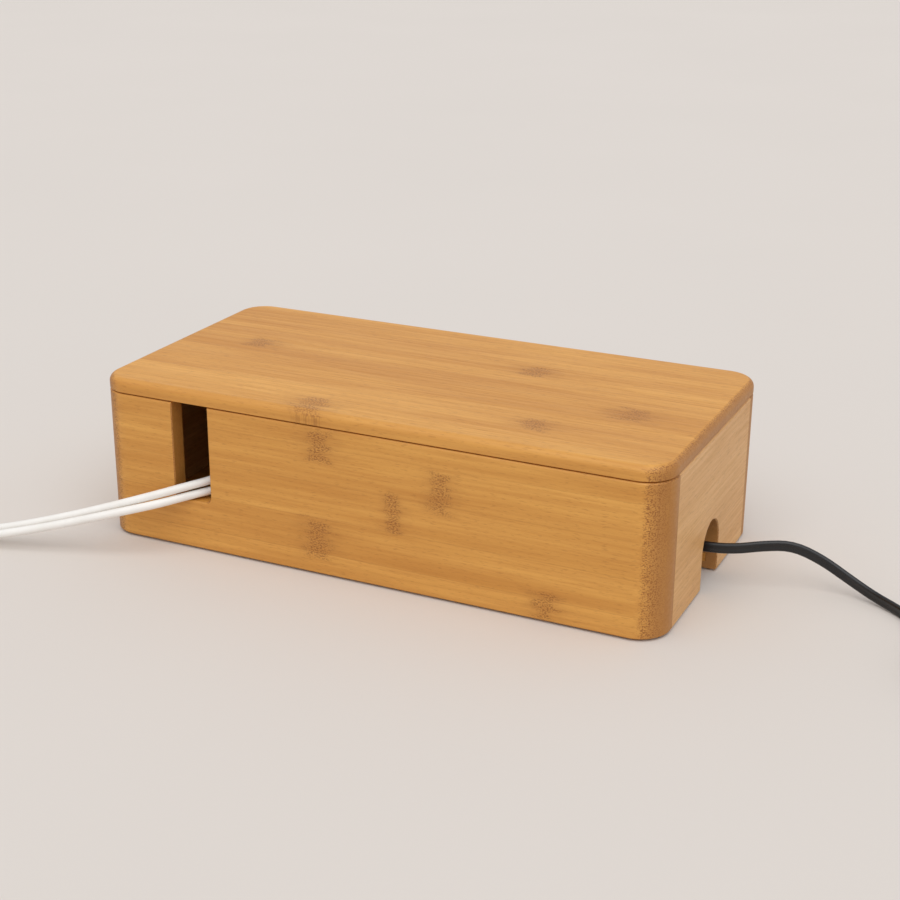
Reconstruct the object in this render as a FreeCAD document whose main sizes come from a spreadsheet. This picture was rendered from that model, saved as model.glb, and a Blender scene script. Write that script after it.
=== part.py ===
"""Bamboo cable management box with a lift-off lid, and the power strip and cables it holds.

Millimetres. +X runs along the box to the right, the front faces -Y, +Z is up. The origin is on
the floor, below the middle of the box.
"""

import FreeCAD
import Part
import Sketcher

import math
import os
import re

from FreeCAD import Placement, Rotation, Vector

SIZES = {
    # the wooden box
    "length": 350.0,
    "depth": 176.0,
    "body_top": 90.0,
    "foot_height": 1.2,
    "corner_radius": 18.0,
    "wall": 10.5,
    "edge_break": 0.7,
    "spare": 2.0,
    # the cable slot in the front, open at the top, and the arch in the right side
    "slot_start": 51.0,
    "slot_width": 24.0,
    "slot_floor": 31.0,
    "slot_corner": 4.0,
    "rim_round": 0.6,
    "notch_width": 31.0,
    "notch_height": 38.0,
    # corner blocks and their dowels
    "block_length": 22.0,
    "block_depth": 10.5,
    "dowel_diameter": 6.0,
    "dowel_length": 21.0,
    "dowel_end_gap": 0.5,
    "dowel_low": 26.0,
    "dowel_high": 66.0,
    "dowel_in_block": 8.0,
    "fit_gap": 0.05,
    # base panel, held in grooves, and the feet
    "base_thickness": 5.0,
    "base_lift": 5.2,
    "groove_depth": 4.0,
    "groove_gap": 0.2,
    "foot_diameter": 14.0,
    "foot_inset": 12.5,
    # lid
    "lid_thickness": 9.0,
    "lid_edge_round": 4.5,
    "lid_step_height": 0.8,
    "lid_step_depth": 2.5,
    "lid_lower_round": 0.5,
    "batten_width": 14.0,
    "batten_height": 8.0,
    "batten_gap": 0.7,
    "batten_edge": 1.5,
    "batten_screw_inset": 22.0,
    # countersunk wood screws
    "screw_head_diameter": 6.4,
    "screw_diameter": 3.2,
    "screw_length": 13.0,
    "recess_width": 0.8,
    "recess_length": 3.4,
    "recess_depth": 1.2,
    # power strip
    "strip_centre": 16.0,
    "strip_length": 232.0,
    "strip_width": 48.0,
    "strip_height": 26.0,
    "strip_corner": 6.0,
    "strip_edge": 2.5,
    "shell_wall": 2.0,
    "pad_length": 40.0,
    "pad_width": 30.0,
    "pad_thickness": 1.0,
    "pad_corner": 3.0,
    "pad_spacing": 140.0,
    "socket_inset": 24.0,
    "socket_pitch": 42.0,
    "socket_count": 4,
    "blade_spacing": 12.7,
    "blade_width": 6.3,
    "blade_thickness": 1.5,
    "blade_length": 16.0,
    "blade_gap": 0.2,
    "leaf_gap": 0.05,
    "bar_thickness": 0.8,
    "bar_width": 5.0,
    "bar_end": 8.0,
    "leaf_thickness": 0.6,
    "leaf_height": 15.0,
    "shell_screw_inset": 8.5,
    "shell_screw_length": 20.0,
    "boss_diameter": 7.4,
    # rocker switch
    "switch_centre": 92.0,
    "switch_rim": 1.6,
    "switch_rim_reach": 2.4,
    "switch_wall": 1.6,
    "switch_well": 8.0,
    "rocker_length": 19.0,
    "rocker_width": 11.0,
    "rocker_below": 3.0,
    "rocker_end": 5.0,
    "rocker_middle": 3.6,
    "rocker_swing_room": 1.6,
    "rocker_side_room": 0.5,
    "rocker_tilt": 9.0,
    "pivot_diameter": 2.0,
    # charger in the first socket
    "charger_length": 36.0,
    "charger_width": 34.0,
    "charger_height": 40.0,
    "charger_round": 4.0,
    "charger_edge": 1.6,
    "port_low": 12.7,
    "port_rise": 14.0,
    "port_width": 12.2,
    "port_height": 4.7,
    "port_depth": 12.0,
    "port_gap": 0.1,
    # white cables
    "cable_diameter": 4.9,
    "cable_turn_pitch": 6.3,
    "cable_coil_inner": 22.05,
    "grip_length": 18.0,
    "grip_width": 15.5,
    "grip_height": 8.0,
    "grip_round": 2.0,
    "connector_length": 20.0,
    "connector_width": 9.5,
    "connector_height": 7.0,
    "connector_tip_length": 8.0,
    "connector_tip_width": 7.0,
    "connector_tip_height": 2.6,
    # black twin mains cord
    "cord_width": 6.3,
    "cord_thickness": 3.2,
    "cord_turn_pitch": 5.4,
    "cord_layer_rise": 6.9,
    "cord_coil_inner": 28.0,
    "relief_length": 25.0,
    "relief_root": 13.0,
    "relief_tip": 8.6,
    "relief_lift": 10.7,
    "relief_flange": 2.0,
    "plug_length": 30.0,
    "plug_width": 23.0,
    "plug_height": 14.0,
    "plug_round": 4.0,
    "plug_neck_length": 12.0,
    "plug_neck_tip": 7.6,
    "plug_neck_root": 11.0,
}

# Routes of the free stretches, chosen by hand. The first point is where the cable leaves its plug
# or strain relief, and the last run of a lead is the line on which its coil starts.
FRONT_CABLE_LEAD = [
    (-76, -35, 50), (-76.5, -46, 48), (-82, -57.5, 43.5), (-93, -68, 38.5),
    (-105.5, -78, 35.2), (-114.5, -89, 34.2), (-128, -101.5, 31), (-148, -113, 26.5),
    (-173, -122.5, 19.6), (-198, -131.5, 13.3), (-221, -138.5, 8.2), (-238, -141.3, 3.6),
    (-249, -141.5, 2.45), (-260.1, -141.5, 2.45),
]
FRONT_CABLE_TAIL = [
    (-260.1, -204.5, 8.75), (-250, -204.5, 8.75), (-238, -203, 5.6), (-226, -200, 4.0),
    (-216, -196.5, 4.0),
]
BACK_CABLE_LEAD = [
    (-76, -35, 64), (-76.5, -46, 61), (-82, -57.5, 54.5), (-93, -68, 47),
    (-105.5, -78, 41.6), (-114.5, -88.5, 40.2), (-128, -99.1, 36.6), (-150, -108.4, 29.6),
    (-175, -117, 21.8), (-200, -125, 14.8), (-224, -132, 9), (-248, -134.2, 4.4),
    (-270, -134.3, 2.6), (-287, -134.65, 2.45), (-300.1, -134.65, 2.45),
]
BACK_CABLE_TAIL = [
    (-309.9, -131.5, 8.75), (-320, -131.5, 8.75), (-331.5, -127, 8.0), (-340.5, -118.5, 5.5),
    (-345.5, -107.5, 4.0), (-347, -97, 4.0),
]
MAINS_CORD_LEAD = [
    (157, 0, 22), (171, 0.4, 21), (188, 4, 21.5), (203, 9.5, 24.2), (218, 15.5, 24.8),
    (234, 19, 18), (250, 18.5, 9.5), (266, 12.5, 4.4), (281, 4, 3.2), (294, -9, 3.15),
    (303.5, -26, 3.15), (303.5, -41.7, 3.15),
]
MAINS_CORD_TAIL = [
    (386.5, -41.7, 10.05), (386.5, -29, 10.05), (384.5, -15, 8.6), (380, -2, 7.2),
    (374.5, 9, 7), (369, 19, 7),
]

FRONT_CABLE_COIL_CENTRE = (-265.0, -173.0)
BACK_CABLE_COIL_CENTRE = (-305.0, -100.0)
MAINS_CORD_COIL_CENTRE = (345.0, -48.0)

doc = FreeCAD.newDocument("CableManagementBox")
sheet = doc.addObject("Spreadsheet::Sheet", "Sizes")
pieces = []


def fill_sheet():
    """Put each driving dimension in a cell of its own, under its name."""
    for row, (name, number) in enumerate(SIZES.items(), start=1):
        sheet.set(f"A{row}", name)
        sheet.set(f"B{row}", str(number))
        sheet.setAlias(f"B{row}", name)
    doc.recompute()


def size(name):
    """The number in a cell."""
    return float(sheet.get(name))


def formula(text):
    """An expression in which each size name points at its cell."""
    return re.sub(r"[a-z]\w*", lambda m: f"Sizes.{m[0]}" if m[0] in SIZES else m[0], str(text))


def number(text):
    """What a formula of size names comes to."""
    return float(sheet.evalExpression(formula(text)))


def bind(item, **formulas):
    """Bind properties to formulas; x, y and z stand for the place."""
    places = {"x": "Placement.Base.x", "y": "Placement.Base.y", "z": "Placement.Base.z"}
    for key, text in formulas.items():
        item.setExpression(places.get(key, key), formula(text))
    return item


def new_body(label):
    """A body that becomes one piece of the object."""
    body = doc.addObject("PartDesign::Body", label)
    body.Label = label
    pieces.append(body)
    return body


def block(body, kind, x, y, z):
    """Add or cut a box between two formulas along each axis."""
    item = body.newObject(f"PartDesign::{kind}Box", f"{kind}_block")
    bind(item, x=x[0], y=y[0], z=z[0])
    bind(item, Length=f"{x[1]} - ({x[0]})", Width=f"{y[1]} - ({y[0]})", Height=f"{z[1]} - ({z[0]})")
    return item


def about(middle, width):
    """A span of some width about a middle."""
    return (f"{middle} - ({width}) / 2", f"{middle} + ({width}) / 2")


TURNS = {
    "x": Rotation(Vector(0, 1, 0), 90),
    "y": Rotation(Vector(1, 0, 0), -90),
    "z": Rotation(),
}


def rod(body, kind, axis, radius, height, x, y, z):
    """Add or cut a cylinder that starts at a place and runs along an axis."""
    item = body.newObject(f"PartDesign::{kind}Cylinder", f"{kind}_rod")
    item.Placement = Placement(Vector(), TURNS[axis])
    return bind(item, Radius=radius, Height=height, x=x, y=y, z=z)


def cone(body, kind, axis, radii, height, x, y, z):
    """Add or cut a cone that starts at a place and runs along an axis."""
    item = body.newObject(f"PartDesign::{kind}Cone", f"{kind}_cone")
    item.Placement = Placement(Vector(), TURNS[axis])
    return bind(item, Radius1=radii[0], Radius2=radii[1], Height=height, x=x, y=y, z=z)


def soften(body, kind, amount, test):
    """Round (Fillet) or break (Chamfer) the edges of the body's last feature that pass a test."""
    doc.recompute()
    last = body.Tip
    edges = [f"Edge{n}" for n, edge in enumerate(last.Shape.Edges, start=1) if test(edge)]
    item = body.newObject(f"PartDesign::{kind}", kind)
    item.Base = (last, edges)
    bind(item, **{"Radius" if kind == "Fillet" else "Size": amount})
    doc.recompute()
    return item


def spans(edge, axis):
    """How far an edge runs along an axis."""
    box = edge.BoundBox
    return {"x": box.XLength, "y": box.YLength, "z": box.ZLength}[axis]


def upright(edge):
    """Whether an edge is a straight vertical line."""
    return spans(edge, "x") < NEAR and spans(edge, "y") < NEAR


def level(*heights):
    """A test for edges that lie flat at one of some heights."""
    places = [number(text) for text in heights]
    return lambda edge: spans(edge, "z") < NEAR and any(
        abs(edge.BoundBox.ZMin - place) < NEAR for place in places
    )


NEAR = 1e-3
WIDE = ("-length / 2 - spare", "length / 2 + spare")
DEEP = ("-depth / 2 - spare", "depth / 2 + spare")
TALL = ("-spare", "body_top + lid_thickness")
BLOCK_FACE = "length / 2 - block_length"
JOINT = "depth / 2 - wall - block_depth"


def outline_body(label):
    """A body that fills the whole rounded outline of the box, for a wall to be cut from."""
    body = new_body(label)
    walls = (about("0", "length"), about("0", "depth"), ("foot_height", "body_top"))
    block(body, "Additive", *walls)
    soften(body, "Fillet", "corner_radius", upright)
    soften(body, "Chamfer", "edge_break", level("foot_height", "body_top"))
    return body


def long_wall(label, side):
    """The front (side -1) or back (side 1) panel, whose ends wrap round the corners."""
    body = outline_body(label)
    inner = "depth / 2 - wall"
    span = (f"-({inner})", "depth / 2 + spare") if side < 0 else ("-depth / 2 - spare", inner)
    block(body, "Subtractive", WIDE, span, TALL)
    low, high = sorted((f"{side} * ({inner})", f"{side} * ({inner} + groove_depth)"), key=number)
    groove = ("base_lift", "base_lift + base_thickness + groove_gap")
    block(body, "Subtractive", about("0", f"2 * ({BLOCK_FACE})"), (low, high), groove)
    return body


def front_panel():
    """The front panel, with the cable slot that is open under the lid."""
    body = long_wall("front_panel", -1)
    low = "-length / 2 + slot_start"
    high = f"{low} + slot_width"
    inner = "-depth / 2 + wall + spare"
    block(body, "Subtractive", (low, high), ("-depth / 2 - spare", inner), ("slot_floor", TALL[1]))
    ends = (number(low), number(high))
    floor = number("slot_floor")

    def slot_bottom(edge):
        box = edge.BoundBox
        at_end = any(abs(box.XMin - end) < NEAR for end in ends)
        return spans(edge, "x") < NEAR and at_end and abs(box.ZMax - floor) < NEAR

    soften(body, "Fillet", "slot_corner", slot_bottom)
    face = number("-depth / 2")

    def slot_rim(edge):
        box = edge.BoundBox
        inside = box.XMin > ends[0] - NEAR and box.XMax < ends[1] + NEAR
        return inside and spans(edge, "y") < NEAR and abs(box.YMin - face) < NEAR

    soften(body, "Chamfer", "rim_round", slot_rim)


def side_wall(label, side):
    """The left (side -1) or right (side 1) panel, held between the corner blocks."""
    body = outline_body(label)
    inner = "length / 2 - wall"
    span = (f"-({inner})", "length / 2 + spare") if side < 0 else ("-length / 2 - spare", inner)
    block(body, "Subtractive", span, DEEP, TALL)
    block(body, "Subtractive", WIDE, (f"-depth / 2 - spare", f"-({JOINT})"), TALL)
    block(body, "Subtractive", WIDE, (JOINT, "depth / 2 + spare"), TALL)
    low, high = sorted((f"{side} * ({inner})", f"{side} * ({inner} + groove_depth)"), key=number)
    groove = ("base_lift", "base_lift + base_thickness + groove_gap")
    block(body, "Subtractive", (low, high), DEEP, groove)
    for end in (-1, 1):
        start = f"{end} * ({JOINT}) - ({end} + 1) / 2 * ({DOWEL_IN_WALL})"
        dowel_holes(body, side, start, DOWEL_IN_WALL)
    return body


DOWEL_IN_WALL = "dowel_length + 2 * dowel_end_gap - dowel_in_block"


def dowel_holes(body, side, start, deep):
    """Two holes for dowels along Y, one above the other."""
    x = f"{side} * (length / 2 - wall / 2)"
    for z in ("dowel_low", "dowel_high"):
        rod(body, "Subtractive", "y", "dowel_diameter / 2 + fit_gap", deep, x, start, z)


def right_side_panel():
    """The right panel, with the arch that the mains cord leaves through."""
    body = side_wall("right_side_panel", 1)
    x = ("length / 2 - wall - spare", "length / 2 + spare")
    spring_line = "notch_height - notch_width / 2"
    block(body, "Subtractive", x, about("0", "notch_width"), ("-spare", spring_line))
    rod(body, "Subtractive", "x", "notch_width / 2", f"{x[1]} - ({x[0]})", x[0], "0", spring_line)
    face = number("length / 2")
    half = number("notch_width / 2")

    def arch_rim(edge):
        box = edge.BoundBox
        beside = abs(box.YMin) < half + NEAR and abs(box.YMax) < half + NEAR
        on_face = spans(edge, "x") < NEAR and abs(box.XMin - face) < NEAR
        return on_face and beside and box.ZLength > NEAR

    soften(body, "Chamfer", "rim_round", arch_rim)


def corner_block(label, side, end):
    """A block glued behind the end of a long panel, which the side panel butts against."""
    body = outline_body(label)
    y_out = f"{end} * (depth / 2 - wall)"
    y_in = f"{end} * ({JOINT})"
    outside = (y_out, DEEP[1]) if end > 0 else (DEEP[0], y_out)
    inside = (DEEP[0], y_in) if end > 0 else (y_in, DEEP[1])
    block(body, "Subtractive", WIDE, outside, TALL)
    block(body, "Subtractive", WIDE, inside, TALL)
    face = f"{side} * ({BLOCK_FACE})"
    block(body, "Subtractive", (WIDE[0], face) if side > 0 else (face, WIDE[1]), DEEP, TALL)
    start = f"{end} * ({JOINT}) - (1 - {end}) / 2 * dowel_in_block"
    dowel_holes(body, side, start, "dowel_in_block")


def group(label, items):
    """Several like solids that share one node."""
    bunch = doc.addObject("Part::Compound", label)
    bunch.Label = label
    bunch.Links = items
    pieces.append(bunch)


def corner_dowels():
    """The eight dowels between the side panels and the corner blocks."""
    dowels = []
    for side in (-1, 1):
        for end in (-1, 1):
            for z in ("dowel_low", "dowel_high"):
                dowel = doc.addObject("Part::Cylinder", "dowel")
                dowel.Placement = Placement(Vector(), TURNS["y"])
                inward = f"{end} * ({JOINT}) + {end} * (dowel_in_block - dowel_end_gap)"
                start = inward if end < 0 else f"{inward} - dowel_length"
                bind(dowel, Radius="dowel_diameter / 2", Height="dowel_length")
                bind(dowel, x=f"{side} * (length / 2 - wall / 2)", y=start, z=z)
                dowels.append(dowel)
    group("corner_dowels", dowels)


def base_panel():
    """The floor of the box, in grooves round the walls, cut away at the blocks and the arch."""
    body = new_body("base_panel")
    reach_x = "length / 2 - wall + groove_depth - groove_gap"
    reach_y = "depth / 2 - wall + groove_depth - groove_gap"
    z = ("base_lift + groove_gap / 2", "base_lift + groove_gap / 2 + base_thickness")
    block(body, "Additive", about("0", f"2 * ({reach_x})"), about("0", f"2 * ({reach_y})"), z)
    for side in (-1, 1):
        for end in (-1, 1):
            x = [f"{side} * ({BLOCK_FACE} - groove_gap)", f"{side} * (length / 2)"]
            y = [f"{end} * ({JOINT} - groove_gap)", f"{end} * (depth / 2)"]
            block(body, "Subtractive", sorted(x, key=number), sorted(y, key=number), TALL)
    notch = ("length / 2 - wall", "length / 2")
    block(body, "Subtractive", notch, about("0", "notch_width"), TALL)


def foot_pad(label, side, end):
    """A thin round foot under a corner."""
    body = new_body(label)
    x = f"{side} * (length / 2 - foot_inset)"
    y = f"{end} * (depth / 2 - foot_inset)"
    rod(body, "Additive", "z", "foot_diameter / 2", "foot_height", x, y, "0")


def lid_screw_places():
    """Where the screws of the lid battens stand, as formulas."""
    x = "length / 2 - wall - batten_gap - batten_width / 2"
    y = f"{JOINT} - batten_gap - batten_screw_inset"
    return [(f"{side} * ({x})", f"{end} * ({y})") for side in (-1, 1) for end in (-1, 1)]


def lid_board():
    """The lid: rounded above, and stepped back below for the shadow line over the box."""
    body = new_body("lid_board")
    step = "body_top + lid_step_height"
    top = "body_top + lid_thickness"
    inner = (about("0", "length - 2 * lid_step_depth"), about("0", "depth - 2 * lid_step_depth"))
    block(body, "Additive", *inner, ("body_top", f"{step} + spare"))
    soften(body, "Fillet", "corner_radius - lid_step_depth", upright)
    block(body, "Additive", about("0", "length"), about("0", "depth"), (step, top))
    low = number(step)
    soften(
        body,
        "Fillet",
        "corner_radius",
        lambda edge: upright(edge) and abs(edge.BoundBox.ZMin - low) < NEAR,
    )
    soften(body, "Fillet", "lid_edge_round", level(top))
    reach = number("length / 2 - lid_step_depth"), number("depth / 2 - lid_step_depth")

    def outer_lip(edge):
        box = edge.BoundBox
        along = max(abs(box.XMin), abs(box.XMax)) > reach[0] + NEAR
        return level(step)(edge) and (along or max(abs(box.YMin), abs(box.YMax)) > reach[1] + NEAR)

    soften(body, "Fillet", "lid_lower_round", outer_lip)
    for x, y in lid_screw_places():
        deep = "screw_length - batten_height + 2 * fit_gap"
        rod(body, "Subtractive", "z", "screw_diameter / 2 + fit_gap", deep, x, y, "body_top")


def lid_batten(label, side):
    """A strip under the lid that fits between two corner blocks and keeps the lid in place."""
    body = new_body(label)
    outer = "length / 2 - wall - batten_gap"
    x = sorted((f"{side} * ({outer} - batten_width)", f"{side} * ({outer})"), key=number)
    low = "body_top - batten_height"
    block(body, "Additive", x, about("0", f"2 * ({JOINT} - batten_gap)"), (low, "body_top"))
    soften(body, "Chamfer", "batten_edge", level(low))
    for x, y in lid_screw_places():
        if number(x) * side > 0:
            screw_hole(body, x, y, low, "batten_height")


def screw_hole(body, x, y, low, deep):
    """A countersunk hole from below."""
    head = "screw_head_diameter / 2 + fit_gap"
    shank = "screw_diameter / 2 + fit_gap"
    rod(body, "Subtractive", "z", shank, deep, x, y, low)
    cone(body, "Subtractive", "z", (head, shank), f"({head}) - ({shank})", x, y, low)


def screw_solid(x, y, z, length):
    """A countersunk screw that points up from z, with a cross in its head."""
    head = doc.addObject("Part::Cone", "screw_head")
    bind(head, Radius1="screw_head_diameter / 2", Radius2="screw_diameter / 2")
    bind(head, Height="(screw_head_diameter - screw_diameter) / 2", x=x, y=y, z=z)
    shank = doc.addObject("Part::Cylinder", "screw_shank")
    bind(shank, Radius="screw_diameter / 2", Height=length, x=x, y=y, z=z)
    whole = doc.addObject("Part::MultiFuse", "screw")
    whole.Shapes = [head, shank]
    for long_x, long_y in (("recess_length", "recess_width"), ("recess_width", "recess_length")):
        bar = doc.addObject("Part::Box", "cross_bar")
        bind(bar, Length=long_x, Width=long_y, Height="recess_depth")
        bind(bar, x=f"{x} - {long_x} / 2", y=f"{y} - {long_y} / 2", z=z)
        cut = doc.addObject("Part::Cut", "screw")
        cut.Base = whole
        cut.Tool = bar
        whole = cut
    return whole


def lid_batten_screws():
    """The four screws that hold the battens to the lid."""
    low = "body_top - batten_height"
    screws = [screw_solid(x, y, low, "screw_length") for x, y in lid_screw_places()]
    group("lid_batten_screws", screws)


STRIP_FLOOR = "base_lift + groove_gap / 2 + base_thickness + pad_thickness"
STRIP_SEAM = f"{STRIP_FLOOR} + strip_height / 2"
STRIP_TOP = f"{STRIP_FLOOR} + strip_height"
STRIP_X = about("strip_centre", "strip_length")
STRIP_Y = about("0", "strip_width")
CAVITY_LENGTH = "rocker_length + 2 * rocker_swing_room"
CAVITY_WIDTH = "rocker_width + 2 * rocker_side_room"
PIN_LENGTH = f"{CAVITY_WIDTH} + 2 * switch_wall"


def socket_places():
    """The middle of each socket along the strip."""
    count = int(number("socket_count"))
    return [f"{STRIP_X[0]} + socket_inset + {n} * socket_pitch" for n in range(count)]


def shell_screw_places():
    """Where the screws that close the strip stand."""
    x = "(strip_length / 2 - shell_screw_inset)"
    y = "(strip_width / 2 - shell_screw_inset)"
    return [(f"strip_centre + {a} * {x}", f"{b} * {y}") for a in (-1, 1) for b in (-1, 1)]


def shell(label, z, hollow, edge_kind, edge_size, edge_level):
    """Half of the strip's casing: a rounded block with one side hollowed out."""
    body = new_body(label)
    block(body, "Additive", STRIP_X, STRIP_Y, z)
    soften(body, "Fillet", "strip_corner", upright)
    soften(body, edge_kind, edge_size, level(edge_level))
    inner_x = about("strip_centre", "strip_length - 2 * shell_wall")
    inner_y = about("0", "strip_width - 2 * shell_wall")
    block(body, "Subtractive", inner_x, inner_y, hollow)
    reach = number("strip_width / 2 - shell_wall")

    def inside_corner(edge):
        box = edge.BoundBox
        return upright(edge) and abs(abs(box.YMin) - reach) < NEAR

    soften(body, "Fillet", "strip_corner - shell_wall", inside_corner)
    return body


def strip_lower_shell():
    """The tray of the power strip, with a boss for each screw."""
    floor = f"{STRIP_FLOOR} + shell_wall"
    body = shell(
        "strip_lower_shell", (STRIP_FLOOR, STRIP_SEAM), (floor, STRIP_SEAM), "Chamfer",
        "edge_break", STRIP_FLOOR,
    )
    for x, y in shell_screw_places():
        rod(body, "Additive", "z", "boss_diameter / 2", "strip_height / 2", x, y, STRIP_FLOOR)
        screw_hole(body, x, y, STRIP_FLOOR, "strip_height / 2")
    relief_hole(body)


def strip_upper_shell():
    """The cover of the power strip, with slots for blades and an opening for the switch."""
    ceiling = f"{STRIP_TOP} - shell_wall"
    body = shell(
        "strip_upper_shell", (STRIP_SEAM, STRIP_TOP), (STRIP_SEAM, ceiling), "Fillet",
        "strip_edge", STRIP_TOP,
    )
    for x, y in shell_screw_places():
        height = "strip_height / 2 - shell_wall"
        rod(body, "Additive", "z", "boss_diameter / 2", height, x, y, STRIP_SEAM)
        deep = "shell_screw_length - strip_height / 2 + fit_gap"
        rod(body, "Subtractive", "z", "screw_diameter / 2 + fit_gap", deep, x, y, STRIP_SEAM)
    through = (f"{ceiling} - spare", f"{STRIP_TOP} + spare")
    for x in socket_places():
        for side in (-1, 1):
            wide = about(x, "blade_width + 2 * blade_gap")
            thick = about(f"{side} * blade_spacing / 2", "blade_thickness + 2 * blade_gap")
            block(body, "Subtractive", wide, thick, through)
    well_x = about("switch_centre", f"{CAVITY_LENGTH} + 2 * (switch_wall + fit_gap)")
    well_y = about("0", f"{CAVITY_WIDTH} + 2 * (switch_wall + fit_gap)")
    block(body, "Subtractive", well_x, well_y, through)
    relief_hole(body)


def relief_hole(body):
    """The hole in the strip's end wall for the strain relief."""
    start = f"{STRIP_X[1]} - shell_wall - spare"
    high = f"{STRIP_FLOOR} + relief_lift"
    radius = "relief_tip / 2 + fit_gap"
    rod(body, "Subtractive", "x", radius, "shell_wall + 2 * spare", start, "0", high)


def strip_strain_relief():
    """The tapered sleeve that the mains cord leaves the strip through."""
    body = new_body("strip_strain_relief")
    high = f"{STRIP_FLOOR} + relief_lift"
    radii = ("relief_root / 2", "relief_tip / 2")
    cone(body, "Additive", "x", radii, "relief_length", STRIP_X[1], "0", high)
    start = f"{STRIP_X[1]} - shell_wall - relief_flange - fit_gap"
    neck = "shell_wall + relief_flange + fit_gap"
    rod(body, "Additive", "x", "relief_tip / 2", neck, start, "0", high)
    rod(body, "Additive", "x", "relief_root / 2", "relief_flange", start, "0", high)


def strip_pad(label, side):
    """A pad that holds the strip to the floor of the box."""
    body = new_body(label)
    x = about(f"strip_centre + {side} * pad_spacing / 2", "pad_length")
    low = f"{STRIP_FLOOR} - pad_thickness"
    block(body, "Additive", x, about("0", "pad_width"), (low, STRIP_FLOOR))
    soften(body, "Fillet", "pad_corner", upright)


def bus_bar(label, side):
    """A brass bar along the strip, with a pair of springy leaves at each socket."""
    body = new_body(label)
    middle = f"{side} * blade_spacing / 2"
    places = socket_places()
    x = (f"{places[0]} - bar_end", f"{places[-1]} + bar_end")
    low = f"{STRIP_FLOOR} + shell_wall"
    top = f"{low} + bar_thickness"
    block(body, "Additive", x, about(middle, "bar_width"), (low, top))
    for place in places:
        for leaf in (-1, 1):
            reach = "blade_thickness / 2 + leaf_gap + leaf_thickness / 2"
            y = about(f"{middle} + {leaf} * ({reach})", "leaf_thickness")
            block(body, "Additive", about(place, "blade_width"), y, (low, f"{top} + leaf_height"))


def strip_screws():
    """The four screws that close the strip."""
    length = "shell_screw_length"
    group("strip_screws", [screw_solid(x, y, STRIP_FLOOR, length) for x, y in shell_screw_places()])


def switch_frame():
    """The rim and well that the rocker sits in."""
    body = new_body("switch_frame")
    outer_x = f"{CAVITY_LENGTH} + 2 * switch_wall"
    outer_y = f"{CAVITY_WIDTH} + 2 * switch_wall"
    rim = (STRIP_TOP, f"{STRIP_TOP} + switch_rim")
    rim_x = about("switch_centre", f"{outer_x} + 2 * switch_rim_reach")
    block(body, "Additive", rim_x, about("0", f"{outer_y} + 2 * switch_rim_reach"), rim)
    soften(body, "Fillet", "switch_rim_reach", upright)
    soften(body, "Chamfer", "edge_break", level(rim[1]))
    well = (f"{STRIP_TOP} - switch_well", STRIP_TOP)
    block(body, "Additive", about("switch_centre", outer_x), about("0", outer_y), well)
    cavity = (f"{STRIP_TOP} - switch_well + switch_wall", f"{rim[1]} + spare")
    cavity_x = about("switch_centre", CAVITY_LENGTH)
    block(body, "Subtractive", cavity_x, about("0", CAVITY_WIDTH), cavity)
    start = f"-({PIN_LENGTH}) / 2"
    radius = "pivot_diameter / 2 + fit_gap"
    rod(body, "Subtractive", "y", radius, PIN_LENGTH, "switch_centre", start, STRIP_TOP)


def switch_pivot_pin():
    """The pin that the rocker turns on."""
    body = new_body("switch_pivot_pin")
    start = f"-({PIN_LENGTH}) / 2"
    rod(body, "Additive", "y", "pivot_diameter / 2", PIN_LENGTH, "switch_centre", start, STRIP_TOP)


def switch_rocker():
    """The rocker, drawn from the side about its pivot and tilted to its rest."""
    body = new_body("switch_rocker")
    half = "rocker_length / 2"
    outline = [
        (f"-({half})", "-rocker_below"),
        (half, "-rocker_below"),
        (half, "rocker_end"),
        ("0", "rocker_middle"),
        (f"-({half})", "rocker_end"),
    ]
    sketch = sketch_outline(body, "XZ_Plane", outline)
    pad = body.newObject("PartDesign::Pad", "rocker_side")
    pad.Profile = sketch
    pad.Midplane = True
    bind(pad, Length="rocker_width")
    doc.recompute()
    reach = number("rocker_width / 2")
    soften(body, "Chamfer", "fit_gap * 10", lambda edge: spans(edge, "y") > 2 * reach - NEAR)
    radius = "pivot_diameter / 2 + fit_gap"
    rod(body, "Subtractive", "y", radius, "rocker_width + spare", "0", f"-{reach} - spare / 2", "0")
    body.Placement = Placement(Vector(), Rotation(Vector(0, 1, 0), number("rocker_tilt")))
    bind(body, x="switch_centre", z=STRIP_TOP)


def sketch_outline(body, role, corners):
    """A closed outline of straight lines, each corner placed by two formulas."""
    sketch = body.newObject("Sketcher::SketchObject", "outline")
    plane = next(item for item in body.Origin.OriginFeatures if item.Role == role)
    sketch.AttachmentSupport = [(plane, "")]
    sketch.MapMode = "FlatFace"
    places = [Vector(number(across), number(up)) for across, up in corners]
    count = len(places)
    for n in range(count):
        sketch.addGeometry(Part.LineSegment(places[n], places[(n + 1) % count]), False)
    for n in range(count):
        sketch.addConstraint(Sketcher.Constraint("Coincident", n, 2, (n + 1) % count, 1))
    for n, (across, up) in enumerate(corners):
        for kind, text in (("DistanceX", across), ("DistanceY", up)):
            place = number(text)
            if abs(place) < NEAR:
                index = sketch.addConstraint(
                    Sketcher.Constraint("PointOnObject", n, 1, -2 if kind == "DistanceX" else -1)
                )
                continue
            index = sketch.addConstraint(Sketcher.Constraint(kind, -1, 1, n, 1, place))
            sketch.setExpression(f"Constraints[{index}]", formula(text))
    return sketch


def charger_body():
    """The charger on the first socket, with two ports in its front."""
    body = new_body("charger_body")
    x = socket_places()[0]
    z = (STRIP_TOP, f"{STRIP_TOP} + charger_height")
    block(body, "Additive", about(x, "charger_length"), about("0", "charger_width"), z)
    soften(body, "Fillet", "charger_round", upright)
    soften(body, "Fillet", "charger_edge", level(z[1]))
    y = ("-charger_width / 2 - spare", "-charger_width / 2 + port_depth")
    for rise in PORT_RISES:
        block(body, "Subtractive", about(x, "port_width"), y, about(rise, "port_height"))


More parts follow.
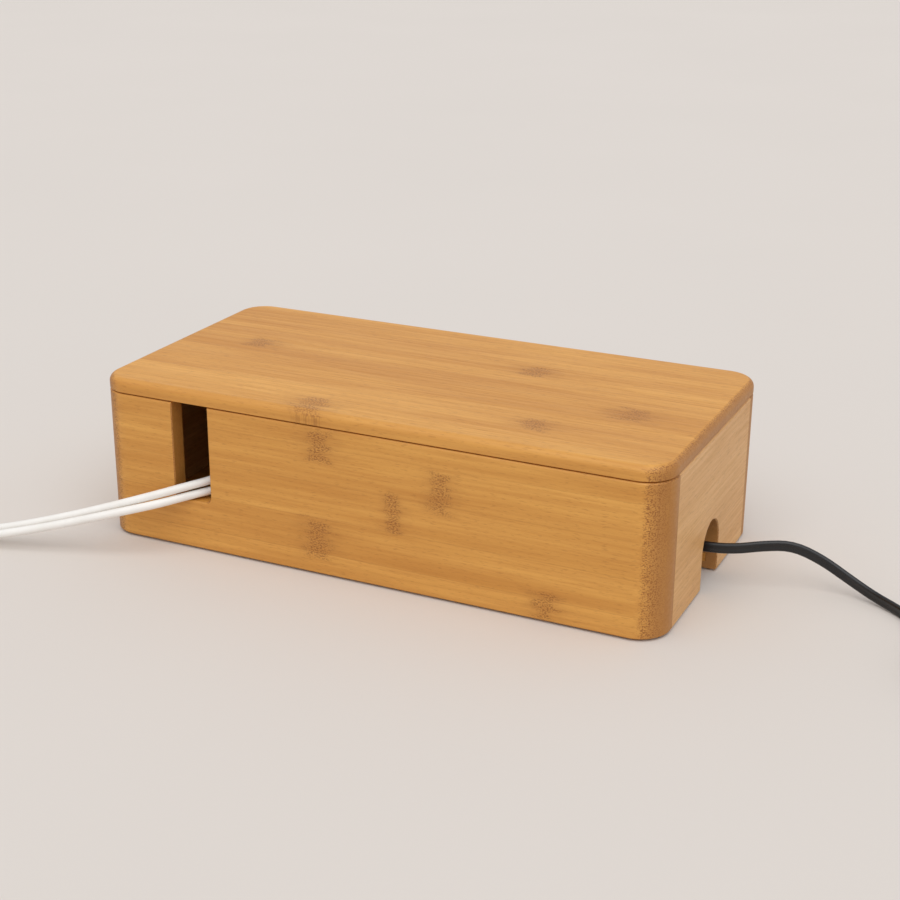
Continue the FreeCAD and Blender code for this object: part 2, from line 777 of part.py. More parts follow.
PORT_RISES = (f"{STRIP_TOP} + port_low", f"{STRIP_TOP} + port_low + port_rise")


def charger_blades():
    """The charger's two blades, down in the first socket."""
    blades = []
    for side in (-1, 1):
        blade = doc.addObject("Part::Box", "blade")
        bind(blade, Length="blade_width", Width="blade_thickness", Height="blade_length")
        bind(blade, x=f"{socket_places()[0]} - blade_width / 2", z=f"{STRIP_TOP} - blade_length")
        bind(blade, y=f"{side} * blade_spacing / 2 - blade_thickness / 2")
        blades.append(blade)
    group("charger_blades", blades)


def cable_plug(label, rise):
    """A moulded plug whose metal tip is in a port of the charger."""
    body = new_body(label)
    x = socket_places()[0]
    face = "-charger_width / 2"
    grip_y = (f"{face} - grip_length", face)
    block(body, "Additive", about(x, "grip_width"), grip_y, about(rise, "grip_height"))
    soften(body, "Fillet", "grip_round", lambda edge: spans(edge, "y") > NEAR)
    tip_y = (face, f"{face} + port_depth - port_gap")
    tip_z = about(rise, "port_height - 2 * port_gap")
    block(body, "Additive", about(x, "port_width - 2 * port_gap"), tip_y, tip_z)


def along(route):
    """The placement at a route's end, facing the way it runs."""
    end = Vector(*route[-1])
    return Placement(end, Rotation(Vector(1, 0, 0), end - Vector(*route[-2])))


def connector(label, route):
    """The small connector on a white cable's far end."""
    body = new_body(label)
    grip = ("0", "connector_length")
    width = about("0", "connector_width")
    block(body, "Additive", grip, width, about("0", "connector_height"))
    soften(body, "Fillet", "grip_round", lambda edge: spans(edge, "x") > NEAR)
    tip = ("connector_length", "connector_length + connector_tip_length")
    tip_y = about("0", "connector_tip_width")
    block(body, "Additive", tip, tip_y, about("0", "connector_tip_height"))
    body.Placement = along(route)


def mains_plug_body():
    """The moulded plug on the mains cord, with its tapered neck."""
    body = new_body("mains_plug_body")
    radii = ("plug_neck_tip / 2", "plug_neck_root / 2")
    x = ("plug_neck_length", "plug_neck_length + plug_length")
    block(body, "Additive", x, about("0", "plug_width"), about("0", "plug_height"))
    soften(body, "Fillet", "plug_round", lambda edge: spans(edge, "x") > NEAR)
    cone(body, "Additive", "x", radii, "plug_neck_length", "0", "0", "0")
    body.Placement = along(MAINS_CORD_TAIL)


def mains_plug_blades():
    """The two blades of the mains plug."""
    blades = []
    for side in (-1, 1):
        blade = doc.addObject("Part::Box", "blade")
        bind(blade, Length="blade_length", Width="blade_thickness", Height="blade_width")
        bind(blade, x="plug_neck_length + plug_length", z="-blade_width / 2")
        bind(blade, y=f"{side} * blade_spacing / 2 - blade_thickness / 2")
        blades.append(blade)
    group("mains_plug_blades", blades)
    pieces[-1].Placement = along(MAINS_CORD_TAIL)


ARC_SHARE = 0.45


def rounded_path(label, points):
    """Straight runs joined by tangent arcs, each as large as its two runs allow."""
    route = [Vector(*point) for point in points]
    edges = []
    radii = []
    start = route[0]
    for before, corner, after in zip(route, route[1:], route[2:]):
        back = before - corner
        ahead = after - corner
        cut = ARC_SHARE * min(back.Length, ahead.Length)
        half_turn = (math.pi - back.getAngle(ahead)) / 2
        radius = cut / math.tan(half_turn)
        back.normalize()
        ahead.normalize()
        middle = corner + (back + ahead).normalize() * (radius / math.cos(half_turn) - radius)
        first = corner + back * cut
        last = corner + ahead * cut
        edges += [Part.LineSegment(start, first), Part.Arc(first, middle, last)]
        radii.append(radius)
        start = last
    edges.append(Part.LineSegment(start, route[-1]))
    print(f"{label}: arc radii from {min(radii):.1f} to {max(radii):.1f} mm")
    return Part.Wire([edge.toShape() for edge in edges])


def biarc(start, heading, end, end_heading):
    """Two tangent arcs from one place and heading to another."""
    chord = end - start
    both = heading + end_heading
    spread = 2 * (1 - heading.dot(end_heading))
    along_both = chord.dot(both)
    reach = (math.sqrt(along_both**2 + spread * chord.dot(chord)) - along_both) / spread
    first = start + heading * reach
    last = end - end_heading * reach
    middle = (first + last) / 2
    across = (last - first).normalize()
    return [
        arc_from(start, heading, middle, across),
        arc_from(middle, across, end, end_heading),
    ]


def arc_from(start, heading, end, end_heading):
    """The arc that leaves one place along a heading and reaches another along its own."""
    chord = end - start
    bulge = (heading - end_heading).normalize()
    half = heading.getAngle(end_heading) / 2
    sagitta = chord.Length / 2 * math.tan(half / 2)
    return Part.Arc(start, (start + end) / 2 + bulge * sagitta, end)


def coil_path(centre, turned, clockwise, halves, inner, pitch, low, rise, lead_in):
    """A coil of two layers: half turns that close in below, climb once and open out above.

    turned is the angle of the first half turn's start, halves how many half turns each layer has,
    and lead_in the straight length at each end.
    """
    spin = -1 if clockwise else 1
    below, above = halves
    radii = [inner + pitch / 2 * n for n in range(below, -1, -1)]
    radii += [inner + pitch / 2 * n for n in range(0, above + 1)]
    heights = [low] * (below + 1) + [low + rise] * (above + 1)
    places = []
    headings = []
    for n, (radius, height) in enumerate(zip(radii, heights)):
        angle = math.radians(turned) + spin * math.pi * n
        out = Vector(math.cos(angle), math.sin(angle), 0)
        places.append(Vector(centre[0], centre[1], height) + out * radius)
        headings.append(Vector(-out.y, out.x, 0) * spin)
    start = places[0] - headings[0] * lead_in
    end = places[-1] + headings[-1] * lead_in
    edges = [Part.LineSegment(start, places[0])]
    for n in range(len(places) - 1):
        edges += biarc(places[n], headings[n], places[n + 1], headings[n + 1])
    edges.append(Part.LineSegment(places[-1], end))
    return Part.Wire([edge.toShape() for edge in edges])


def round_section(radius):
    """A round section."""
    return lambda start, heading: Part.Wire(Part.Circle(start, heading, radius).toShape())


def twin_section(width, thickness):
    """The section of a flat twin cord that stands on its edge."""

    def drawn(start, heading):
        up = (Vector(0, 0, 1) - heading * heading.z).normalize()
        side = heading.cross(up) * (thickness / 2)
        core = up * ((width - thickness) / 2)
        tip = up * (width / 2)
        corners = [start + core + side, start + core - side, start - core - side, start - core + side]
        edges = [
            Part.Arc(corners[0], start + tip, corners[1]),
            Part.LineSegment(corners[1], corners[2]),
            Part.Arc(corners[2], start - tip, corners[3]),
            Part.LineSegment(corners[3], corners[0]),
        ]
        return Part.Wire([edge.toShape() for edge in edges])

    return drawn


def tube(label, path, section):
    """A solid of one section swept along a path."""
    first = path.OrderedEdges[0]
    heading = first.tangentAt(first.FirstParameter)
    profile = section(first.valueAt(first.FirstParameter), heading)
    solid = path.makePipeShell([profile], True, False)
    expected = Part.Face(profile).Area * path.Length
    print(f"{label}: {path.Length:.1f} mm long, volume {solid.Volume / expected:.4f} of expected")
    item = doc.addObject("Part::Feature", label)
    item.Label = label
    item.Shape = solid
    pieces.append(item)
    return path.Length


def least_gap(path, width, thickness, turn):
    """The least gap between a coil's turns, measured on points along it."""
    step = 2.0
    points = path.discretize(Distance=step)
    core = width - thickness
    apart = int(turn / 2 / step)
    gap = turn
    for n, point in enumerate(points):
        for other in points[n + apart :]:
            flat = math.hypot(point.x - other.x, point.y - other.y)
            tall = max(0.0, abs(point.z - other.z) - core)
            gap = min(gap, math.hypot(flat, tall) - thickness)
    return gap


def cord(name, lead, coil, tail, section, width, thickness, turn):
    """A cord's three solids: the lead, the coil of its unseen length, and the tail."""
    total = tube(f"{name}_lead", rounded_path(f"{name}_lead", lead), section)
    total += tube(f"{name}_coil", coil, section)
    total += tube(f"{name}_tail", rounded_path(f"{name}_tail", tail), section)
    print(f"{name}: {total / 1000:.3f} m, least gap {least_gap(coil, width, thickness, turn):.2f} mm")


def white_cable(name, lead, tail, centre, turned, clockwise, halves):
    """A white round cable with its coil."""
    thick = size("cable_diameter")
    pitch = size("cable_turn_pitch")
    inner = size("cable_coil_inner")
    coil = coil_path(centre, turned, clockwise, halves, inner, pitch, thick / 2, pitch, thick)
    cord(name, lead, coil, tail, round_section(thick / 2), thick, thick, 2 * math.pi * inner)


def mains_cord():
    """The black twin mains cord with its coil."""
    wide = size("cord_width")
    inner = size("cord_coil_inner")
    pitch = size("cord_turn_pitch")
    rise = size("cord_layer_rise")
    coil = coil_path(MAINS_CORD_COIL_CENTRE, 180, False, (5, 5), inner, pitch, wide / 2, rise, wide)
    section = twin_section(wide, size("cord_thickness"))
    thickness = size("cord_thickness")
    turn = 2 * math.pi * inner
    cord("mains_cord", MAINS_CORD_LEAD, coil, MAINS_CORD_TAIL, section, wide, thickness, turn)


def build_box():
    """The wooden box and its lid."""
    front_panel()
    long_wall("back_panel", 1)
    side_wall("left_side_panel", -1)
    right_side_panel()
    for end, front_or_back in ((-1, "front"), (1, "back")):
        for side, left_or_right in ((-1, "left"), (1, "right")):
            corner_block(f"corner_block_{front_or_back}_{left_or_right}", side, end)
            foot_pad(f"foot_pad_{front_or_back}_{left_or_right}", side, end)
    corner_dowels()
    base_panel()
    lid_board()
    lid_batten("lid_batten_left", -1)
    lid_batten("lid_batten_right", 1)
    lid_batten_screws()


def build_strip():
    """The power strip, its switch and the charger on it."""
    strip_lower_shell()
    strip_upper_shell()
    strip_strain_relief()
    strip_pad("strip_pad_left", -1)
    strip_pad("strip_pad_right", 1)
    bus_bar("live_bus_bar", 1)
    bus_bar("neutral_bus_bar", -1)
    strip_screws()
    switch_frame()
    switch_pivot_pin()
    switch_rocker()
    charger_body()
    charger_blades()


def build_cords():
    """The cables that leave the box, with what is on their ends."""
    cable_plug("front_cable_plug", PORT_RISES[0])
    cable_plug("back_cable_plug", PORT_RISES[1])
    centre = FRONT_CABLE_COIL_CENTRE
    white_cable("front_cable", FRONT_CABLE_LEAD, FRONT_CABLE_TAIL, centre, 90, False, (3, 3))
    centre = BACK_CABLE_COIL_CENTRE
    white_cable("back_cable", BACK_CABLE_LEAD, BACK_CABLE_TAIL, centre, -90, True, (4, 3))
    connector("front_cable_connector", FRONT_CABLE_TAIL)
    connector("back_cable_connector", BACK_CABLE_TAIL)
    mains_cord()
    mains_plug_body()
    mains_plug_blades()


def check_and_export():
    """Stop on a failed object or an unsound shape, then write each piece to a file."""
    doc.recompute()
    for item in doc.Objects:
        if "Invalid" in item.State or "Error" in item.State:
            raise RuntimeError(f"{item.Label} failed: {item.State}")
    for piece in pieces:
        if piece.Shape.isNull() or not piece.Shape.isValid():
            raise RuntimeError(f"{piece.Label} has no sound shape")
    os.makedirs("parts", exist_ok=True)
    for piece in pieces:
        piece.Shape.exportStep(f"parts/{piece.Label}.step")
        box = piece.Shape.BoundBox
        print(f"{piece.Label}: {len(piece.Shape.Solids)} solids, {box.ZMin:.2f} to {box.ZMax:.2f} high")


fill_sheet()
build_box()
build_strip()
build_cords()
check_and_export()
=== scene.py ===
import logging
import math
from dataclasses import dataclass
from enum import Enum
from typing import Union

import bpy
from mathutils import Matrix, Vector


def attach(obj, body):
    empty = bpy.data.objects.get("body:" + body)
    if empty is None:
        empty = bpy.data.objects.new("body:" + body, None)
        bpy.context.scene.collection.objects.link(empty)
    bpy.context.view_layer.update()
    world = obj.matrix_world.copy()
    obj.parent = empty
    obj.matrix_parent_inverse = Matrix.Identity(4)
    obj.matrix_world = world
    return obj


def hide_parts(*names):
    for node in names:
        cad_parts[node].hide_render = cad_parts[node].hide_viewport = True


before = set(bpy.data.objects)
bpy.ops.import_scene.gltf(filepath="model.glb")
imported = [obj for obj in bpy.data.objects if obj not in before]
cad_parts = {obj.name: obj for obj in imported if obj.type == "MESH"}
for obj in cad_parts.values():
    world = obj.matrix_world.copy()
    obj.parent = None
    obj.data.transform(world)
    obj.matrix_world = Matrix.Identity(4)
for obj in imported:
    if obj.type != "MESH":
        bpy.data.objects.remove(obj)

LOG = logging.getLogger("cable_management_box")
Point = tuple[float, float, float]
Colour = tuple[float, float, float]
Feed = Union[float, tuple, bpy.types.NodeSocket]
BOX_BODY = "box"
UP = Vector((0.0, 0.0, 1.0))

# How many cells of noise fit in a metre along the grain, across the strips and into the board.
DRIFT_CELLS = (4.0, 46.0, 46.0)
STREAK_CELLS = (9.0, 190.0, 190.0)
FIBRE_CELLS = (16.0, 520.0, 520.0)
SPECK_CELLS = (190.0, 1500.0, 1500.0)
PORE_CELLS = (900.0, 1500.0, 1500.0)
MARK_EDGE_CELLS = (90.0, 260.0, 260.0)
MARK_DOT_CELLS = (800.0, 1400.0, 1400.0)
FLOOR_CELLS = (2.5, 2.5, 2.5)

# How much a strip's own shade and its narrow streaks add to the wide drift of tone.
STRIP_SHARE = 0.22
STREAK_SHARE = 0.35
TONE_SUM = 1.0 + STRIP_SHARE + STREAK_SHARE

# How far, in metres, each strip's grain is moved along, so that no two strips look alike.
STRIP_SHIFT = 3.0
SEAM_EDGE = 0.00055
SEAM_CORE = 0.0001


class Along(Enum):
    """The axis that a board's grain, its strips' width or their thickness runs along."""

    LENGTH = "X"
    DEPTH = "Y"
    HEIGHT = "Z"


class Spin(Enum):
    """Which way a coil turns, seen from above."""

    LEFT = 1
    RIGHT = -1


def shade(red: int, green: int, blue: int) -> Colour:
    """Turn a colour as a screen shows it into the linear values that materials take.

    Args:
        red: Red from 0 to 255.
        green: Green from 0 to 255.
        blue: Blue from 0 to 255.

    Returns:
        The linear colour.
    """

    def linear(level: int) -> float:
        """Return one channel's linear value."""
        part = level / 255
        return part / 12.92 if part <= 0.04045 else ((part + 0.055) / 1.055) ** 2.4

    return linear(red), linear(green), linear(blue)


class Weave:
    """Adds nodes to one tree and links what they are given."""

    def __init__(self, tree: bpy.types.NodeTree) -> None:
        """Keep the tree that the nodes go into."""
        self.tree = tree

    def add(self, kind: str, inputs: dict[Union[str, int], Feed], **settings: object) -> bpy.types.Node:
        """Add a node.

        Args:
            kind: The node's type name.
            inputs: What each input takes, a value or another node's output.
            settings: The node's own properties.

        Returns:
            The node.
        """
        node = self.tree.nodes.new(kind)
        for name, setting in settings.items():
            setattr(node, name, setting)
        for key, value in inputs.items():
            if isinstance(value, bpy.types.NodeSocket):
                self.tree.links.new(value, node.inputs[key])
            else:
                node.inputs[key].default_value = value
        return node

    def maths(self, operation: str, *values: Feed) -> bpy.types.NodeSocket:
        """Work out a number from one, two or three numbers."""
        return self.add("ShaderNodeMath", dict(enumerate(values)), operation=operation).outputs[0]

    def step(self, value: Feed, low: float, high: float) -> bpy.types.NodeSocket:
        """Rise smoothly from 0 at low to 1 at high."""
        ends = {"Value": value, "From Min": low, "From Max": high}
        return self.add("ShaderNodeMapRange", ends, interpolation_type="SMOOTHSTEP").outputs[0]

    def tint(self, share: Feed, first: Feed, second: Feed) -> bpy.types.NodeSocket:
        """Mix two colours."""
        first, second = (
            colour if isinstance(colour, bpy.types.NodeSocket) else (*colour, 1.0)
            for colour in (first, second)
        )
        inputs = {0: share, 6: first, 7: second}
        return self.add("ShaderNodeMix", inputs, data_type="RGBA").outputs[2]

    def scaled(self, vector: Feed, factors: Point) -> bpy.types.NodeSocket:
        """Multiply a vector by one factor for each axis."""
        inputs = {0: vector, 1: factors}
        return self.add("ShaderNodeVectorMath", inputs, operation="MULTIPLY").outputs[0]

    def noise(self, vector: Feed, detail: float = 2.0, roughness: float = 0.5) -> bpy.types.NodeSocket:
        """Sample noise whose cells are one unit wide."""
        inputs = {"Vector": vector, "Scale": 1.0, "Detail": detail, "Roughness": roughness}
        return self.add("ShaderNodeTexNoise", inputs).outputs[0]


def new_group(
    name: str, inputs: dict[str, Feed], outputs: tuple[str, ...]
) -> tuple[Weave, dict, bpy.types.Node]:
    """Start a shader node group.

    Args:
        name: The group's name.
        inputs: Each input's name and first value; a tuple makes a vector input.
        outputs: Each output's name.

    Returns:
        The tree's weave, the inputs' sockets by name, and the output node.
    """
    tree = bpy.data.node_groups.new(name, "ShaderNodeTree")
    for label, start in inputs.items():
        kind = "NodeSocketVector" if isinstance(start, tuple) else "NodeSocketFloat"
        socket = tree.interface.new_socket(label, in_out="INPUT", socket_type=kind)
        socket.default_value = start
    for label in outputs:
        tree.interface.new_socket(label, in_out="OUTPUT", socket_type="NodeSocketFloat")
    weave = Weave(tree)
    taken = tree.nodes.new("NodeGroupInput")
    given = tree.nodes.new("NodeGroupOutput")
    return weave, {label: taken.outputs[label] for label in inputs}, given


def bamboo_grain() -> bpy.types.NodeTree:
    """Build the grain of pressed bamboo, with X along it, Y across its strips and Z into the board.

    Returns:
        The group, whose outputs are each strip's tone, long fibres, short dark dashes, the seam
        between strips, and the pores that show where fibres end.
    """
    outputs = ("Tone", "Fibre", "Dash", "Seam", "Pore")
    weave, taken, given = new_group(
        "bamboo_grain", {"Vector": (0.0, 0.0, 0.0), "Strip Width": 0.02, "Seed": 0.0}, outputs
    )
    place = weave.add("ShaderNodeSeparateXYZ", {0: taken["Vector"]}).outputs
    across = weave.maths("DIVIDE", place[1], taken["Strip Width"])
    across = weave.maths("ADD", across, taken["Seed"])
    strip = weave.maths("FLOOR", across)
    pick = weave.add("ShaderNodeTexWhiteNoise", {"W": strip}, noise_dimensions="1D").outputs["Value"]
    along = weave.maths("MULTIPLY_ADD", pick, STRIP_SHIFT, place[0])
    own = weave.add("ShaderNodeCombineXYZ", {0: along, 1: place[1], 2: place[2]}).outputs[0]

    drift = weave.noise(weave.scaled(own, DRIFT_CELLS))
    streak = weave.noise(weave.scaled(own, STREAK_CELLS))
    tone = weave.maths("MULTIPLY_ADD", pick, STRIP_SHARE, weave.step(drift, 0.24, 0.76))
    tone = weave.maths("MULTIPLY_ADD", weave.step(streak, 0.3, 0.7), STREAK_SHARE, tone)
    tone = weave.maths("DIVIDE", tone, TONE_SUM)
    fibre = weave.noise(weave.scaled(own, FIBRE_CELLS), 4.0, 0.62)
    speck = weave.noise(weave.scaled(own, SPECK_CELLS), 1.0)
    part = weave.maths("FRACT", across)
    edge = weave.maths("MINIMUM", part, weave.maths("SUBTRACT", 1.0, part))
    gap = weave.maths("MULTIPLY", edge, taken["Strip Width"])
    pore = weave.noise(weave.scaled(own, PORE_CELLS), 1.0)

    results = {
        "Tone": tone,
        "Fibre": weave.step(fibre, 0.3, 0.72),
        "Dash": weave.step(speck, 0.58, 0.72),
        "Seam": weave.step(gap, SEAM_EDGE, SEAM_CORE),
        "Pore": weave.step(pore, 0.48, 0.62),
    }
    for label, value in results.items():
        weave.tree.links.new(value, given.inputs[label])
    return weave.tree


def bamboo_mark() -> bpy.types.NodeTree:
    """Build the mark that a joint of the stem leaves on a strip.

    Returns:
        The group, whose outputs are the mark's darker patch and the dots in it.
    """
    start = {"Vector": (0.0, 0.0, 0.0), "Centre": (0.0, 0.0, 0.0), "Length": 0.014, "Width": 0.02}
    weave, taken, given = new_group("bamboo_mark", start, ("Patch", "Dots"))
    away = weave.add(
        "ShaderNodeVectorMath", {0: taken["Vector"], 1: taken["Centre"]}, operation="SUBTRACT"
    ).outputs[0]
    stray = weave.noise(weave.scaled(taken["Vector"], MARK_EDGE_CELLS), 3.0)
    stray = weave.maths("SUBTRACT", stray, 0.5)
    place = weave.add("ShaderNodeSeparateXYZ", {0: away}).outputs
    along = weave.maths("DIVIDE", weave.maths("ABSOLUTE", place[0]), taken["Length"])
    across = weave.maths("DIVIDE", weave.maths("ABSOLUTE", place[1]), taken["Width"])
    along = weave.maths("MULTIPLY_ADD", stray, 2.2, along)
    within = weave.maths("MULTIPLY_ADD", stray, 0.4, across)
    core = weave.maths("MULTIPLY", weave.step(along, 0.9, 0.1), weave.step(within, 0.6, 0.36))
    halo = weave.maths("MULTIPLY", weave.step(along, 1.9, 0.2), weave.step(within, 0.66, 0.3))
    dots = weave.noise(weave.scaled(taken["Vector"], MARK_DOT_CELLS), 1.0)
    dots = weave.maths("MULTIPLY", weave.step(dots, 0.44, 0.6), core)
    weave.tree.links.new(halo, given.inputs["Patch"])
    weave.tree.links.new(dots, given.inputs["Dots"])
    return weave.tree


def moulded_grain() -> bpy.types.NodeTree:
    """Build the fine grain and faint smears of moulded or drawn parts.

    Returns:
        The group, whose outputs are the grain's height and the smears.
    """
    start = {"Vector": (0.0, 0.0, 0.0), "Grain": 2500.0, "Smear": 60.0}
    weave, taken, given = new_group("moulded_grain", start, ("Height", "Smears"))
    fine = {"Vector": taken["Vector"], "Scale": taken["Grain"], "Detail": 2.0}
    wide = {"Vector": taken["Vector"], "Scale": taken["Smear"], "Detail": 3.0}
    height = weave.add("ShaderNodeTexNoise", fine).outputs[0]
    smears = weave.add("ShaderNodeTexNoise", wide).outputs[0]
    weave.tree.links.new(height, given.inputs["Height"])
    weave.tree.links.new(weave.step(smears, 0.35, 0.7), given.inputs["Smears"])
    return weave.tree


GRAIN = bamboo_grain()
MARK = bamboo_mark()
MOULDED = moulded_grain()


def new_material(name: str) -> tuple[bpy.types.Material, Weave, bpy.types.Node]:
    """Start a material that has only a Principled BSDF.

    Args:
        name: The material's name.

    Returns:
        The material, its weave and the shader node.
    """
    material = bpy.data.materials.new(name)
    material.use_nodes = True
    return material, Weave(material.node_tree), material.node_tree.nodes["Principled BSDF"]


@dataclass(frozen=True)
class Mark:
    """A stem joint's mark: where it lies along the grain and across the strips, and its size."""

    along: float
    across: float
    length: float = 0.015
    width: float = 0.021


@dataclass(frozen=True)
class Bamboo:
    """Pressed bamboo board: pale and dark strips, fibres, stem marks and darker ends."""

    name: str
    grain: Along
    across: Along
    seed: float
    marks: tuple[Mark, ...] = ()
    light: Colour = shade(231, 171, 84)
    dark: Colour = shade(199, 135, 54)
    fibre: Colour = shade(184, 118, 46)
    brown: Colour = shade(140, 82, 26)
    end: Colour = shade(166, 110, 50)
    seam: float = 0.12
    fibre_share: float = 0.4
    dash_share: float = 0.26
    patch_share: float = 0.2
    dots_share: float = 0.75
    end_share: float = 0.75
    pore_share: float = 0.8
    strip_width: float = 0.0215
    roughness: float = 0.42

    def build(self) -> bpy.types.Material:
        """Build the material.

        Returns:
            The material.
        """
        material, weave, shader = new_material(self.name)
        source = weave.add("ShaderNodeTexCoord", {})
        place = self.turned(weave, source.outputs["Object"])
        facing = self.turned(weave, source.outputs["Normal"])
        grain = weave.add(
            "ShaderNodeGroup",
            {"Vector": place, "Strip Width": self.strip_width, "Seed": self.seed},
            node_tree=GRAIN,
        ).outputs
        patch, dots = self.stem_marks(weave, place)

        colour = weave.tint(grain["Tone"], self.dark, self.light)
        fibres = weave.maths("MULTIPLY", grain["Fibre"], self.fibre_share)
        colour = weave.tint(fibres, colour, self.fibre)
        colour = weave.tint(weave.maths("MULTIPLY", grain["Dash"], self.dash_share), colour, self.brown)
        colour = weave.tint(weave.maths("MULTIPLY", grain["Seam"], self.seam), colour, self.brown)
        colour = weave.tint(weave.maths("MULTIPLY", patch, self.patch_share), colour, self.brown)
        colour = weave.tint(weave.maths("MULTIPLY", dots, self.dots_share), colour, self.brown)

        sideways = weave.add("ShaderNodeSeparateXYZ", {0: facing}).outputs[0]
        sideways = weave.maths("ABSOLUTE", sideways)
        ends = weave.step(sideways, 0.2, 0.8)
        cut = weave.maths("MULTIPLY", weave.step(sideways, 0.22, 0.42), weave.step(sideways, 1.1, 0.6))
        colour = weave.tint(weave.maths("MULTIPLY", ends, self.end_share), colour, self.end)
        pores = weave.maths("MULTIPLY", grain["Pore"], cut)
        colour = weave.tint(weave.maths("MULTIPLY", pores, self.pore_share), colour, self.brown)
        weave.tree.links.new(colour, shader.inputs["Base Color"])

        dull = weave.maths("MULTIPLY_ADD", grain["Fibre"], 0.12, self.roughness)
        weave.tree.links.new(dull, shader.inputs["Roughness"])
        relief = weave.maths("MULTIPLY_ADD", grain["Seam"], -0.2, grain["Fibre"])
        bump = weave.add("ShaderNodeBump", {"Strength": 0.12, "Distance": 0.0003, "Height": relief})
        weave.tree.links.new(bump.outputs[0], shader.inputs["Normal"])
        return material

    def turned(self, weave: Weave, vector: bpy.types.NodeSocket) -> bpy.types.NodeSocket:
        """Turn a vector so that X runs along the grain and Y across the strips.

        Args:
            weave: The material's weave.
            vector: The vector in the object's own axes.

        Returns:
            The turned vector.
        """
        parts = weave.add("ShaderNodeSeparateXYZ", {0: vector}).outputs
        rest = next(way for way in Along if way not in (self.grain, self.across))
        order = {n: parts[way.value] for n, way in enumerate((self.grain, self.across, rest))}
        return weave.add("ShaderNodeCombineXYZ", order).outputs[0]

    def stem_marks(self, weave: Weave, place: bpy.types.NodeSocket) -> tuple[Feed, Feed]:
        """Lay the board's stem marks over each other.

        Args:
            weave: The material's weave.
            place: The vector along the grain.

        Returns:
            The marks' patches and dots.
        """
        flat = weave.scaled(place, (1.0, 1.0, 0.0))
        patch: Feed = 0.0
        dots: Feed = 0.0
        for mark in self.marks:
            inputs = {"Vector": flat, "Centre": (mark.along, mark.across, 0.0)}
            inputs |= {"Length": mark.length, "Width": mark.width}
            found = weave.add("ShaderNodeGroup", inputs, node_tree=MARK).outputs
            patch = weave.maths("MAXIMUM", patch, found["Patch"])
            dots = weave.maths("MAXIMUM", dots, found["Dots"])
        return patch, dots


@dataclass(frozen=True)
class Moulded:
    """Moulded plastic or rubber, with a fine grain and faint smears."""

    name: str
    colour: Colour
    worn: Colour
    roughness: float
    grain: float = 2500.0
    relief: float = 0.06

    def build(self) -> bpy.types.Material:
        """Build the material.

        Returns:
            The material.
        """
        material, weave, shader = new_material(self.name)
        place = weave.add("ShaderNodeTexCoord", {}).outputs["Object"]
        found = weave.add("ShaderNodeGroup", {"Vector": place, "Grain": self.grain}, node_tree=MOULDED)
        smears = found.outputs["Smears"]
        weave.tree.links.new(weave.tint(smears, self.colour, self.worn), shader.inputs["Base Color"])
        dull = weave.maths("MULTIPLY_ADD", smears, 0.1, self.roughness)
        weave.tree.links.new(dull, shader.inputs["Roughness"])
        height = {"Strength": self.relief, "Distance": 0.0002, "Height": found.outputs["Height"]}
        bump = weave.add("ShaderNodeBump", height)
        weave.tree.links.new(bump.outputs[0], shader.inputs["Normal"])
        return material


@dataclass(frozen=True)
class Bright:
    """Bare or plated metal with faint drawing lines along one axis."""

    name: str
    colour: Colour
    worn: Colour
    roughness: float
    lines: Along = Along.LENGTH

    def build(self) -> bpy.types.Material:
        """Build the material.

        Returns:
            The material.
        """
        material, weave, shader = new_material(self.name)
        place = weave.add("ShaderNodeTexCoord", {}).outputs["Object"]
        factors = tuple(0.05 if way is self.lines else 1.0 for way in Along)
        place = weave.scaled(place, factors)
        inputs = {"Vector": place, "Grain": 3200.0, "Smear": 160.0}
        found = weave.add("ShaderNodeGroup", inputs, node_tree=MOULDED).outputs
        colour = weave.tint(found["Smears"], self.colour, self.worn)
        weave.tree.links.new(colour, shader.inputs["Base Color"])
        shader.inputs["Metallic"].default_value = 1.0
        dull = weave.maths("MULTIPLY_ADD", found["Height"], 0.15, self.roughness)
        weave.tree.links.new(dull, shader.inputs["Roughness"])
        return material


FRONT_MARKS = (
    Mark(-0.0271, 0.0790, 0.011, 0.020),
    Mark(-0.0287, 0.0225, 0.012, 0.024),
    Mark(0.0478, 0.0640, 0.009, 0.024),
    Mark(0.0192, 0.0462, 0.007, 0.024),
    Mark(0.1104, 0.0100, 0.010, 0.016),
)
LID_MARKS = (
    Mark(-0.1212, 0.0101, 0.012, 0.016),
    Mark(-0.0364, -0.0765, 0.015, 0.022),
    Mark(0.0546, 0.0314, 0.014, 0.018),
    Mark(0.0888, -0.0537, 0.013, 0.017),
    Mark(0.1307, -0.0155, 0.014, 0.020),
)
BACK_MARKS = (Mark(0.094, 0.071), Mark(-0.052, 0.050), Mark(-0.128, 0.028), Mark(0.031, 0.012))
LEFT_MARKS = (Mark(0.048, 0.071, 0.009, 0.020),)


def smooth(mesh: bpy.types.Mesh) -> None:
    """Shade every face of a mesh smooth."""
    mesh.shade_smooth()


def dress(finish: bpy.types.Material, *nodes: str) -> None:
    """Give a finish to pieces of the frame.

    Args:
        finish: The material.
        nodes: The pieces' names.
    """
    for node in nodes:
        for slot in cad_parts[node].material_slots:
            slot.material = finish
        LOG.info("%s: %s", node, finish.name)


def new_piece(
    name: str, data: bpy.types.ID, finish: bpy.types.Material, body: str
) -> bpy.types.Object:
    """Add a piece of the scene's own, at the origin, that rides on a body.

    Args:
        name: The piece's name.
        data: Its mesh or curve.
        finish: Its material.
        body: The body that it rides on.

    Returns:
        The piece.
    """
    piece = bpy.data.objects.new(name, data)
    bpy.context.scene.collection.objects.link(piece)
    data.materials.clear()
    data.materials.append(finish)
    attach(piece, body)
    LOG.info("%s: %s", name, finish.name)
    return piece


